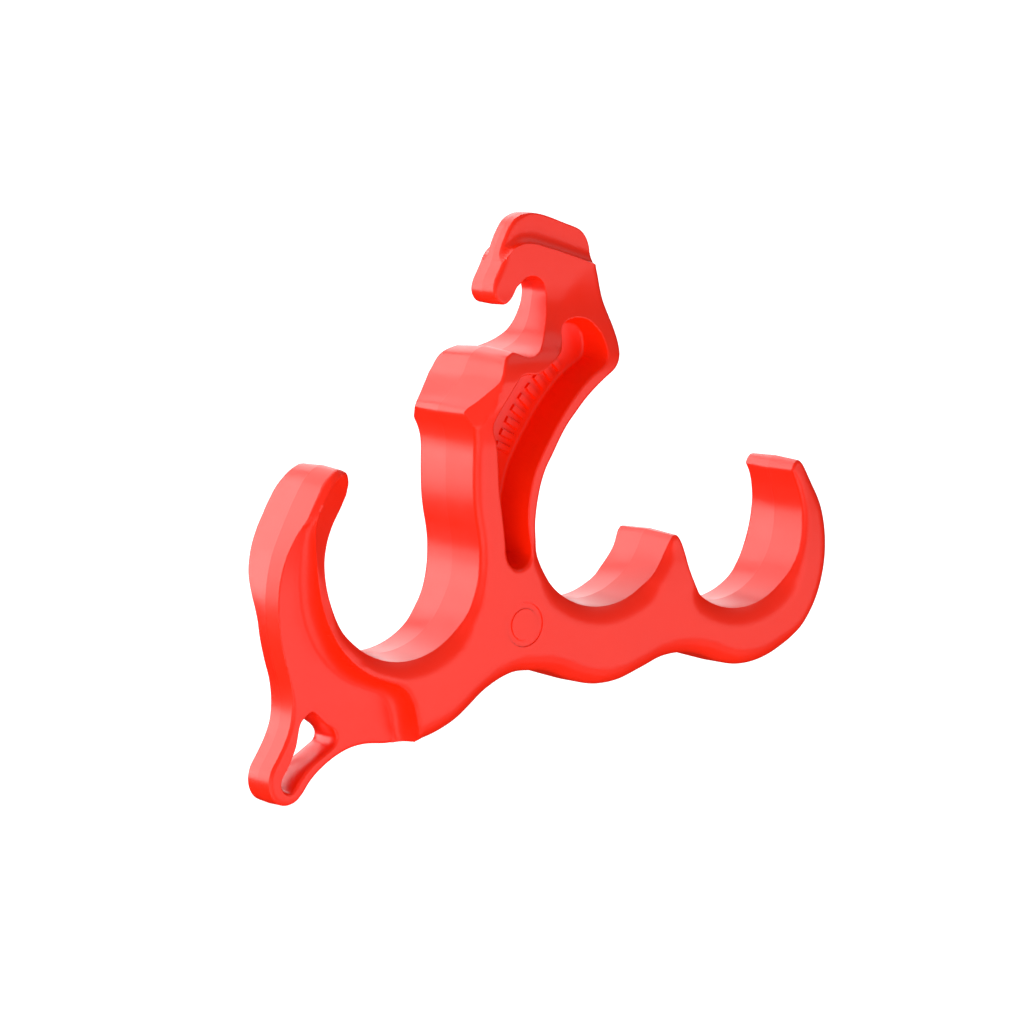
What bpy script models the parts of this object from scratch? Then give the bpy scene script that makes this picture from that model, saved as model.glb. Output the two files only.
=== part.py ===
"""One-piece moulded archery hand release: a fixed loop hook on a pocketed neck, and a handle with three finger bays.

Outlines are (x, z) points in millimetres. X runs along the handle, from the index finger to the third finger, Z
runs up towards the hook, and Y is the thickness, with the parting plane at Y = 0 and the two sides alike. The
origin lies in the throat of the hook, where the loop of the bowstring bears.
"""

from math import cos, dist, hypot, radians, sin

import bmesh
import bpy

MM = 0.001

# Half thicknesses, from the parting plane out.
FIN_HALF = 1.5
BLADE_HALF = 2.7
LUG_PLATE_HALF = 2.6
POCKET_WEB_HALF = 1.0
HANDLE_HALF = 6.5

# How the half thickness changes with height: (z, half) points, straight in between.
NECK_FACE = [(-80.0, HANDLE_HALF), (-21.0, HANDLE_HALF), (-15.0, 8.2), (-9.0, 7.9), (-6.9, 6.9),
             (-1.2, BLADE_HALF), (20.0, BLADE_HALF)]
INDEX_TIP_FACE = [(-80.0, HANDLE_HALF), (-36.0, HANDLE_HALF), (-20.0, 4.5)]
THIRD_TIP_FACE = [(-80.0, HANDLE_HALF), (-36.0, HANDLE_HALF), (-25.0, 5.2)]
INDEX_TIP_END_X = -26.0
THIRD_TIP_START_X = 30.0

# Round stretches: centre (x, z) and radius.
THROAT = ((-0.4, 0.0), 2.3)
INDEX_BAY = ((-23.3, -34.7), 11.85)
MIDDLE_BAY = ((9.4, -30.4), 12.0)
THIRD_BAY = ((33.3, -33.8), 11.1)

DRAFT = 0.2
EDGE_ROUND = 0.8
EDGE_SEGMENTS = 3
EDGE_ANGLE = 60.0
SMOOTH_ANGLE = 35.0
OUTLINE_STEP = 1.1
RECESS_STEP = 1.6
SLOT_STEP = 0.8
CLEAR = 10.0

# How a recess's wall spreads from its floor to its top edge.
RIM_FOOT_SPREAD = 1.4
RIM_WAIST_SPREAD = 0.4
RIM_FILLET_RISE = 1.2
FIN_WALL_SPREAD = 0.5
POCKET_WALL_SPREAD = 0.35

MOULDED_RED = (0.80, 0.05, 0.035, 1.0)


def arc(round_stretch, start, end, count):
    """Points along a round stretch, by angle in degrees from +X towards +Z."""
    (cx, cz), radius = round_stretch
    turns = [radians(start + (end - start) * i / (count - 1)) for i in range(count)]
    return [(cx + radius * cos(turn), cz + radius * sin(turn)) for turn in turns]


def smooth_outline(points, step=OUTLINE_STEP):
    """A closed curve through the points (a centripetal Catmull-Rom spline), with a point about every step."""
    curve = []
    for i in range(len(points)):
        a, b, c, d = (points[(i + k) % len(points)] for k in (-1, 0, 1, 2))
        t1 = dist(a, b) ** 0.5
        t2 = t1 + dist(b, c) ** 0.5
        t3 = t2 + dist(c, d) ** 0.5
        count = max(1, round(dist(b, c) / step))
        for k in range(count):
            t = t1 + (t2 - t1) * k / count
            curve.append(tuple(spline_value(a[j], b[j], c[j], d[j], t1, t2, t3, t) for j in (0, 1)))
    return curve


def spline_value(a, b, c, d, t1, t2, t3, t):
    ab = a + (b - a) * t / t1
    bc = b + (c - b) * (t - t1) / (t2 - t1)
    cd = c + (d - c) * (t - t2) / (t3 - t2)
    abc = ab + (bc - ab) * t / t2
    bcd = bc + (cd - bc) * (t - t1) / (t3 - t1)
    return abc + (bcd - abc) * (t - t1) / (t2 - t1)


def drawn_in(outline, distance):
    """The closed outline moved inwards by distance."""
    area = sum(a[0] * b[1] - b[0] * a[1] for a, b in zip(outline, outline[1:] + outline[:1]))
    side = distance if area > 0 else -distance
    moved = []
    for i, (x, z) in enumerate(outline):
        before, after = outline[i - 1], outline[(i + 1) % len(outline)]
        dx, dz = after[0] - before[0], after[1] - before[1]
        length = hypot(dx, dz)
        moved.append((x - side * dz / length, z + side * dx / length))
    return moved


def close_rings(bm, rings):
    """Walls between rings of equally many vertices, and a cap at both ends."""
    for low, high in zip(rings, rings[1:]):
        for i in range(len(low)):
            j = (i + 1) % len(low)
            bm.faces.new((low[i], low[j], high[j], high[i]))
    bm.faces.new(rings[0])
    bm.faces.new(rings[-1])


def stack(bm, levels):
    """A closed solid through outlines at different depths, each (y, outline)."""
    close_rings(bm, [[bm.verts.new((x * MM, y * MM, z * MM)) for x, z in outline] for y, outline in levels])


def mesh_object(name, bm):
    bmesh.ops.recalc_face_normals(bm, faces=bm.faces)
    mesh = bpy.data.meshes.new(name)
    bm.to_mesh(mesh)
    bm.free()
    mesh.shade_smooth()
    mesh.set_sharp_from_angle(angle=radians(SMOOTH_ANGLE))
    obj = bpy.data.objects.new(name, mesh)
    bpy.context.collection.objects.link(obj)
    return obj


def half_thickness(x, z):
    """How far the face lies from the parting plane there."""
    line = INDEX_TIP_FACE if x < INDEX_TIP_END_X else THIRD_TIP_FACE if x > THIRD_TIP_START_X else NECK_FACE
    for (z0, half0), (z1, half1) in zip(line, line[1:]):
        if z <= z1:
            return half0 + (half1 - half0) * (z - z0) / (z1 - z0)
    return line[-1][1]


def moulded_body(name, outline):
    """A slab widest at the parting plane, with draft on both sides of it, tapered faces and rounded outer edges."""
    bm = bmesh.new()
    face = drawn_in(outline, DRAFT)
    stack(bm, [(-1.0, face), (0.0, outline), (1.0, face)])
    for z, _ in NECK_FACE[1:-1] + INDEX_TIP_FACE[1:-1]:
        everything = bm.verts[:] + bm.edges[:] + bm.faces[:]
        bmesh.ops.bisect_plane(bm, geom=everything, plane_co=(0, 0, z * MM), plane_no=(0, 0, 1))
    for vert in bm.verts:
        vert.co.y *= half_thickness(vert.co.x / MM, vert.co.z / MM)
    body = mesh_object(name, bm)
    rounding = body.modifiers.new("edge_round", "BEVEL")
    rounding.width = EDGE_ROUND * MM
    rounding.segments = EDGE_SEGMENTS
    rounding.limit_method = "ANGLE"
    rounding.angle_limit = radians(EDGE_ANGLE)
    return body


def subtract(body, name, bm):
    cutter = mesh_object(name, bm)
    cutter.display_type = "WIRE"
    cutter.hide_render = True
    boolean = body.modifiers.new(name, "BOOLEAN")
    boolean.operation = "DIFFERENCE"
    boolean.object = cutter


def cut_both_sides(body, name, levels):
    """Takes the same recess away on both sides of the parting plane."""
    bm = bmesh.new()
    for side in (-1, 1):
        stack(bm, [(side * y, outline) for y, outline in levels])
    subtract(body, name, bm)


def cut_through(body, name, outline):
    """Takes an opening away right through the body."""
    bm = bmesh.new()
    stack(bm, [(-CLEAR, outline), (CLEAR, outline)])
    subtract(body, name, bm)


def silhouette():
    """The whole outline at the parting plane, clockwise from the tip of the loop hook."""
    hook_and_fin = [
        (-4.4, -1.0), (-5.1, -1.2), (-5.9, -0.9), (-6.5, -0.3), (-6.7, 0.7), (-6.4, 1.9), (-5.5, 3.5),
        (-4.9, 4.8), (-4.4, 6.4), (-3.3, 8.6), (-2.3, 9.8), (-1.1, 10.4), (0.4, 10.6), (2.3, 10.3),
        (5.8, 9.1), (8.6, 8.0), (9.5, 7.1), (10.1, 5.4),
    ]
    neck_right = [
        (10.4, 3.6), (10.8, 1.9), (11.0, 0.4), (11.3, -1.5), (11.7, -3.3), (12.1, -5.2), (12.4, -7.0),
        (12.2, -8.5), (11.4, -10.0), (9.5, -11.4), (7.6, -12.7), (5.9, -14.1), (4.4, -15.6), (2.8, -17.3),
        (1.5, -19.1), (0.3, -21.1), (-0.8, -22.8), (-1.6, -24.7), (-2.2, -26.8), (-2.5, -29.0),
    ]
    bump = [
        (20.2, -35.6), (21.1, -34.1), (21.8, -33.7), (22.7, -34.6), (23.2, -36.2), (23.8, -38.4), (25.0, -41.0),
    ]
    third_hook = [
        (44.3, -30.4), (43.9, -28.5), (43.2, -26.9), (43.3, -25.8), (44.2, -25.4), (45.3, -26.2),
        (47.0, -28.6), (48.5, -31.9), (49.1, -35.9), (48.6, -40.6), (47.0, -45.2), (44.3, -48.7),
    ]
    underside = [
        (40.8, -51.3), (36.9, -52.7), (33.3, -52.9), (30.3, -52.2), (27.2, -51.0), (23.8, -50.3),
        (20.0, -50.5), (16.3, -51.7), (12.2, -52.9), (8.3, -53.0), (4.5, -52.0), (1.0, -50.6), (-2.0, -50.1),
        (-5.0, -50.0), (-7.6, -50.7), (-10.4, -52.1), (-12.7, -53.8), (-14.9, -55.3), (-17.9, -56.6),
        (-21.2, -57.4), (-24.6, -57.6), (-27.6, -57.4), (-30.1, -57.7),
    ]
    lug = [
        (-32.5, -58.6), (-34.8, -60.0), (-36.3, -61.3), (-37.6, -62.9), (-38.7, -63.8), (-40.1, -64.1),
        (-41.4, -63.7), (-42.3, -62.7), (-42.7, -61.2), (-42.4, -59.5), (-41.4, -57.9), (-40.2, -55.9),
        (-39.3, -53.7), (-39.0, -51.2),
    ]
    index_hook = [
        (-39.2, -48.5), (-39.9, -45.6), (-40.6, -42.6), (-41.0, -39.8), (-41.2, -37.0), (-41.1, -34.2),
        (-40.7, -31.6), (-39.4, -28.4), (-37.3, -25.1), (-35.2, -22.3), (-33.9, -21.2), (-32.6, -20.7),
        (-31.6, -21.1), (-31.1, -22.2), (-31.4, -23.4), (-32.5, -25.3), (-33.7, -27.8), (-34.6, -30.1),
        (-35.1, -32.4),
    ]
    neck_left = [
        (-11.5, -32.2), (-11.7, -29.5), (-12.1, -26.5), (-12.4, -23.2), (-12.5, -20.2), (-12.6, -18.2),
        (-13.0, -16.7), (-13.7, -15.4), (-13.9, -14.7), (-13.4, -14.0), (-12.4, -13.2), (-11.2, -12.3),
        (-10.2, -11.1), (-9.6, -9.8), (-9.1, -8.6), (-8.4, -7.7), (-7.3, -7.2), (-5.8, -7.3),
    ]
    hook_mouth = [
        (-4.2, -7.6), (-2.6, -7.4), (-1.0, -6.6), (0.5, -5.4), (1.6, -3.7), (2.1, -1.9),
    ]
    return smooth_outline(
        hook_and_fin
        + neck_right
        + arc(MIDDLE_BAY, 180, 318, 9)
        + bump
        + arc(THIRD_BAY, 232, 368, 9)
        + third_hook
        + underside
        + lug
        + index_hook
        + arc(INDEX_BAY, 185, 358, 11)
        + neck_left
        + hook_mouth
        + arc(THROAT, 0, 140, 6)
        + [(-3.1, 0.5), (-3.7, -0.4)]
    )


def plate_recess():
    """All outside the rim that runs down the index hook and round under its bay."""
    rim = [
        (-38.6, -24.0), (-37.8, -26.2), (-37.0, -28.6), (-36.7, -32.0), (-36.5, -35.1), (-36.1, -38.2),
        (-35.2, -40.9), (-33.7, -43.7), (-31.7, -45.9), (-29.4, -47.5), (-26.8, -48.6), (-24.8, -49.4),
        (-23.4, -50.6), (-22.5, -52.2), (-22.0, -54.2), (-21.6, -56.5), (-21.4, -59.5),
    ]
    beyond = [(-24.0, -64.0), (-34.0, -70.0), (-46.0, -70.0), (-49.0, -50.0), (-47.0, -32.0), (-43.0, -24.0)]
    return smooth_outline(rim + beyond, RECESS_STEP)


def fin_recess():
    """All above the top edge of the hook's blade, where only the thin fin stands."""
    blade_top = [
        (-8.0, 3.0), (-5.6, 4.0), (-4.4, 5.1), (-3.3, 6.1), (-1.6, 6.6), (0.3, 6.5), (2.1, 6.0), (5.7, 4.9),
        (9.3, 3.7), (13.0, 2.5),
    ]
    beyond = [(17.0, 8.0), (10.0, 15.0), (-4.0, 16.0), (-12.0, 9.0)]
    return smooth_outline(blade_top + beyond, RECESS_STEP)


def neck_pocket():
    """The deep recess that runs from the hook's shoulder down the neck."""
    shoulder_end = [
        (1.9, -5.2), (2.3, -4.2), (3.3, -3.4), (4.6, -3.1), (5.8, -3.2), (7.1, -3.8), (8.2, -4.7),
        (9.3, -6.2), (10.0, -7.8), (9.9, -9.2),
    ]
    right_wall = [
        (8.8, -10.1), (7.3, -10.9), (5.6, -12.1), (4.2, -13.5), (2.6, -15.2), (1.0, -17.2), (-0.4, -19.2),
        (-1.6, -21.0), (-2.6, -22.9), (-3.3, -24.9), (-3.9, -27.2), (-4.1, -29.3), (-4.1, -31.3),
        (-3.8, -33.4),
    ]
    lower_end = [(-3.3, -35.0), (-4.0, -36.1), (-5.2, -36.4), (-6.4, -35.8), (-7.3, -34.3)]
    left_wall = [
        (-7.6, -32.3), (-7.8, -30.3), (-8.2, -27.5), (-8.6, -24.8), (-8.8, -21.8), (-8.9, -18.9),
        (-9.2, -16.7), (-8.9, -15.3), (-7.9, -14.1), (-6.7, -12.9), (-5.8, -11.4), (-5.0, -10.5),
        (-3.8, -10.3), (-2.4, -10.3), (-1.0, -9.7), (0.2, -8.9), (1.2, -7.9), (1.8, -6.4),
    ]
    return smooth_outline(shoulder_end + right_wall + lower_end + left_wall)


def lanyard_slot():
    """Wide at the top, where a knot passes, and narrow at the foot, where the cord is held."""
    return smooth_outline([
        (-36.2, -52.3), (-37.5, -53.2), (-38.1, -54.9), (-38.7, -56.8), (-39.8, -59.1), (-40.8, -60.8),
        (-40.7, -61.9), (-39.7, -62.5), (-38.8, -62.1), (-37.8, -60.8), (-36.2, -59.3), (-34.0, -57.9),
        (-32.6, -57.0), (-32.2, -56.0), (-32.8, -54.9), (-34.4, -53.4),
    ], SLOT_STEP)


def moulded_material():
    material = bpy.data.materials.new("moulded_red")
    material.use_nodes = True
    shader = material.node_tree.nodes["Principled BSDF"]
    shader.inputs["Base Color"].default_value = MOULDED_RED
    shader.inputs["Roughness"].default_value = 0.35
    shader.inputs["Metallic"].default_value = 0.0
    return material


def main():
    for obj in list(bpy.data.objects):
        bpy.data.objects.remove(obj, do_unlink=True)

    body = moulded_body("release_body", silhouette())
    body.data.materials.append(moulded_material())

    rim = plate_recess()
    rim_levels = [
        (LUG_PLATE_HALF, drawn_in(rim, RIM_FOOT_SPREAD)),
        (LUG_PLATE_HALF + RIM_FILLET_RISE, drawn_in(rim, RIM_WAIST_SPREAD)),
        (CLEAR, rim),
    ]
    cut_both_sides(body, "cut_plate", rim_levels)
    blade_edge = fin_recess()
    cut_both_sides(body, "cut_fin", [(FIN_HALF, drawn_in(blade_edge, FIN_WALL_SPREAD)), (CLEAR, blade_edge)])
    pocket = neck_pocket()
    cut_both_sides(body, "cut_pocket", [(POCKET_WEB_HALF, drawn_in(pocket, POCKET_WALL_SPREAD)), (CLEAR, pocket)])
    cut_through(body, "cut_slot", lanyard_slot())


main()
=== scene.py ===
"""The looks of the one-piece moulded hand release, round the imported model.

The visible piece is one closed mesh. Each side is a face, whose height over the parting plane is worked out
at every (x, z), and a wall from the face's edge down to that plane. The back mirrors the front, but for the
crest of the index hook, which stands higher on the back. Lengths are in millimetres until the mesh is made.
"""

from math import cos, hypot, pi, radians, sin

import bmesh
import bpy
import numpy as np
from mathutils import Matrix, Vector
from mathutils.geometry import delaunay_2d_cdt
from mathutils.kdtree import KDTree


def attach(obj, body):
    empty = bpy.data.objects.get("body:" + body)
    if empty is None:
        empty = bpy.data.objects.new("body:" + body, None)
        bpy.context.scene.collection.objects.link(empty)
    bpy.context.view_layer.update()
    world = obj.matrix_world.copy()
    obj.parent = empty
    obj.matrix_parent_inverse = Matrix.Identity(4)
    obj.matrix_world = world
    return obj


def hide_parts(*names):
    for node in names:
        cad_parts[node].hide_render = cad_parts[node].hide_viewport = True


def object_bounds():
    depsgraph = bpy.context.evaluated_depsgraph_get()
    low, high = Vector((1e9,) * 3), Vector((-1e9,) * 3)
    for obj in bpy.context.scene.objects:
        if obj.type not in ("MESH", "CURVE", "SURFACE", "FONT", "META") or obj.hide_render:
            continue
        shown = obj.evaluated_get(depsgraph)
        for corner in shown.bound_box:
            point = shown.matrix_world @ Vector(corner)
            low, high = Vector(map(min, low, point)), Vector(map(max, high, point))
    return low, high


MM = 0.001

# ---------------------------------------------------------------- shape: sizes

# Half thicknesses, from the parting plane out.
HANDLE_FACE = 6.55
FIN_FACE = 1.5
POCKET_FLOOR = 1.0

# Round stretches: centre (x, z) and radius.
THROAT = ((-0.4, 0.0), 2.3)
INDEX_BAY = ((-23.3, -34.7), 11.85)
MIDDLE_BAY = ((9.4, -30.4), 12.0)
THIRD_BAY = ((33.3, -33.8), 11.1)

# How each stretch of edge is finished: how far the parting line stands proud of the edge, then how deep and
# how wide the face turns down to the edge, and how round that turn is (0 a dish with a crisp edge, 1 a full
# round).
EDGES = {
    "hook_tip": (0.1, 0.3, 0.35, 1.0),
    "hook_back": (0.1, 0.5, 0.7, 1.0),
    "fin_front": (0.05, 0.35, 0.5, 1.0),
    "fin_top": (0.05, 0.12, 0.16, 1.0),
    "head_side": (0.15, 0.4, 0.7, 0.8),
    "neck_side": (0.45, 0.35, 0.4, 1.0),
    "bay_entry": (0.45, 0.85, 1.7, 0.4),
    "bay_floor": (0.45, 1.2, 2.9, 0.15),
    "bump_left": (0.35, 0.8, 1.9, 0.2),
    "bump": (0.3, 0.25, 0.4, 0.8),
    "bay_side": (0.45, 0.7, 0.9, 1.0),
    "third_tip": (0.2, 0.25, 0.35, 0.8),
    "third_outer": (0.1, 1.1, 1.2, 1.0),
    "underside": (0.1, 2.5, 2.4, 1.0),
    "lug_foot": (0.1, 0.3, 0.35, 1.0),
    "lug_side": (0.1, 0.3, 0.55, 0.2),
    "plate_edge": (0.35, 0.12, 0.16, 0.5),
    "index_crest": (0.35, 0.12, 0.2, 0.8),
    "index_side": (0.35, 0.4, 0.6, 1.0),
    "index_tip": (0.35, 0.8, 1.0, 1.0),
    "index_end": (0.2, 0.9, 1.2, 1.0),
    "index_inner": (0.3, 0.12, 0.15, 0.5),
    "neck_left": (0.2, 0.9, 1.1, 1.0),
    "facet_edge": (0.3, 0.05, 0.08, 0.5),
    "block_left": (0.45, 0.3, 0.45, 0.6),
    "sill": (0.4, 0.1, 0.16, 0.6),
    "throat": (0.2, 0.15, 0.2, 1.0),
    "pocket_rim": (0.0, 0.22, 0.28, 1.0),
    "pocket_foot": (0.0, 0.4, 0.5, 0.3),
    "slot_thin": (0.0, 0.06, 0.08, 0.5),
    "slot_chamfer": (0.0, 0.3, 0.38, 0.0),
}
# Finishes ease into each other over this much of the edge, to either side.
EDGE_BLEND = 1.0

# Face heights, from the parting plane out: (z, height) knots. The neck has one line for each side of
# NECK_LINE, and eases from one to the other over NECK_SPREAD to either side.
NECK_LEFT = [(-26.0, 6.55), (-21.0, 6.55), (-19.5, 6.62), (-18.0, 6.85), (-16.5, 7.3), (-15.0, 7.95),
             (-13.5, 8.2), (-11.0, 8.2), (-10.0, 8.05), (-8.6, 7.6), (-7.6, 6.8), (-6.6, 5.4), (-5.1, 4.05),
             (-3.1, 3.3), (-1.0, 2.8), (1.0, 2.7), (3.0, 2.7)]
NECK_RIGHT = [(-26.0, 6.55), (-20.0, 6.5), (-15.0, 6.4), (-11.0, 6.3), (-8.7, 6.0), (-7.4, 5.5),
              (-5.9, 4.85), (-4.5, 4.3), (-3.1, 3.75), (-1.5, 3.25), (0.0, 2.95), (1.5, 2.78), (3.0, 2.7),
              (5.0, 2.7)]
NECK_LINE = ((6.5, 0.0), (-6.0, -21.0))
NECK_SPREAD = 1.2
THIRD_HOOK = [(-44.0, 6.55), (-40.0, 6.5), (-37.0, 6.35), (-33.0, 6.0), (-29.0, 5.5), (-25.0, 5.1)]
BUMP = [(-44.0, 6.55), (-41.0, 6.5), (-38.0, 6.35), (-35.5, 6.1), (-33.5, 6.0)]
INDEX_INNER = [(-47.0, 6.55), (-45.5, 6.5), (-43.0, 6.05), (-40.0, 5.5), (-36.0, 4.95), (-32.0, 4.2),
               (-28.0, 3.5), (-24.0, 3.0), (-20.5, 2.9)]
PLATE_TOP = [(-52.0, 2.68), (-48.0, 2.6), (-40.0, 2.52), (-36.0, 2.55), (-34.0, 2.65), (-31.3, 2.95),
             (-28.9, 3.4), (-27.0, 4.0), (-25.0, 4.3)]
BACK_PLATE_TOP = [(-52.0, 2.68), (-48.0, 2.6), (-41.0, 2.55), (-39.1, 2.95), (-37.3, 3.75), (-34.3, 5.05),
                  (-32.5, 5.45), (-28.3, 6.0), (-24.0, 5.6), (-20.8, 5.1)]
# How much higher the crest of the index hook stands on the back.
BACK_LIFT = [(-42.0, 0.0), (-38.0, 0.1), (-34.3, 0.5), (-31.0, 1.1), (-28.3, 1.38), (-26.2, 1.34),
             (-24.0, 1.18), (-22.0, 0.8), (-20.8, 0.5)]
# The thin plate parts from the index hook's crest between these heights.
PLATE_EMERGES = (-25.9, -28.2)

# Which of the heights holds where: the handle lies between these x, and below this z.
HANDLE_LEFT, BUMP_LEFT, THIRD_HOOK_LEFT = -26.0, 15.0, 30.0
HANDLE_TOP = -26.0
# Under the index bay the face rises from the rim to the handle's face.
UNDER_BAY_RIGHT, UNDER_BAY_TOP, UNDER_BAY_SLOPE = -18.0, -46.0, 0.35
# The strip beside the index bay eases, between these z, from a step at these shares of its width to a plain
# slant at the tip.
STRIP_SLANTS = (-36.0, -30.0)
STRIP_STEP = (0.05, 0.8)
# Where the outline turns down the face and where the plate: the face left of the first x at the tip, and,
# below UNDERSIDE_TOP, the face right of the second and the plate left of the third.
TIP_FACE_RIGHT = -34.0
UNDERSIDE_FACE_LEFT, UNDERSIDE_PLATE_RIGHT, UNDERSIDE_TOP = -24.0, -23.5, -50.0

# Hollow fillets: their widths, by x for the fin and z for the rim, and how hollow they are (0 a bend that
# eases out, 1 a quarter round).
FIN_FILLET = [(-5.5, 0.5), (-3.5, 0.7), (-1.5, 1.4), (2.0, 1.6), (10.0, 1.6)]
FIN_HOLLOW = 0.7
RIM_FILLET = [(-57.0, 1.5), (-50.0, 1.7), (-40.0, 1.8), (-32.0, 1.5), (-29.0, 1.1), (-27.0, 0.9)]
RIM_HOLLOW = 0.92

# The flat facet on the block's left corner: a plane through (x, z, height), its slopes along x and z, and its
# limits.
FACET_AT = (-10.0, -12.0, 8.0)
FACET_SLOPE = (0.95, -0.35)
FACET_X, FACET_Z = (-15.0, -9.0), (-18.0, -10.0)

# The pocket and the slot: how far their walls lean in, and the fillet at the pocket's foot.
POCKET_DRAFT = 0.5
POCKET_FILLET = 0.45
SLOT_DRAFT = 0.22

# The plain ring sunk into the handle: outer and inner radius.
MARK_AT = (-4.5, -43.4)
MARK_RING = (3.0, 2.1)
MARK_DEPTH = 0.16
MARK_EDGE = 0.07

# The plain raised ribs on the pocket's floor, in a row along RIB_LINE.
RIB_LINE = [(5.0, -9.2), (4.2, -10.0), (0.8, -13.1), (-1.4, -15.5), (-3.0, -18.0), (-4.4, -20.8)]
RIB_COUNT = 9
RIB_WIDTH, RIB_LENGTH, RIB_HEIGHT, RIB_EDGE = 0.75, 2.2, 0.35, 0.12
RIB_END_GAP = 0.6

# ---------------------------------------------------------------- shape: how fine the mesh is

OUTLINE_STEP = 0.4
SLOT_STEP = 0.35
RIB_LINE_STEP = 0.1
GRID_STEP, GRID_CLEARANCE = 0.5, 0.27
ROW_SPACING = 0.866
FLOOR_STEP, FLOOR_CLEARANCE = 0.9, 0.4
MARK_POINTS = 72
# A rib's long sides have points at their thirds, and its direction is taken this far ahead. Points within the
# loop of its top, grown by the last factor, stand at the top's height.
RIB_THIRD = 0.33
RIB_AHEAD = 0.2
RIB_TOP_REACH = 1.002
# How far from an edge, and from the rim and the fin's foot, rows of points follow it.
EDGE_ROWS = (0.04, 0.1, 0.18, 0.3, 0.5, 0.8, 1.2, 1.7, 2.3)
RIM_ROWS = (0.08, 0.2, 0.36, 0.56, 0.8, 1.1, 1.45, 1.9)
ROW_CLEARANCE = 0.034
# From this distance on, a row has every second point.
SPARSE_FROM = 1.0
# A point stays in its row where no other edge is nearer than this share of the row's distance.
ROW_KEPT = 0.93
# Close-set points to either side of where a line meets the outline, and how the line's ends are joined to it.
CROSSING_STEPS = (0.0, 0.07, 0.16, 0.28, 0.42)
LINE_CLEARANCE = 0.22
JOIN_REACH = 0.7
# The pocket's wall has a ring at each of these shares of its depth, and its fillet one at each of these
# turns, in degrees.
WALL_SHARES = (0.33, 0.66, 1.0)
FILLET_TURNS = (30, 60, 90)
# Edges that bend less than this many degrees are shaded smooth.
SMOOTH_BELOW = 34


# ---------------------------------------------------------------- shape: outlines, as (x, z) points


def arc(round_stretch, start, end, count):
    """Points along a round stretch, by angle in degrees from +X towards +Z."""
    (cx, cz), radius = round_stretch
    turns = np.radians(np.linspace(start, end, count))
    return list(zip(cx + radius * np.cos(turns), cz + radius * np.sin(turns)))


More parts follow.
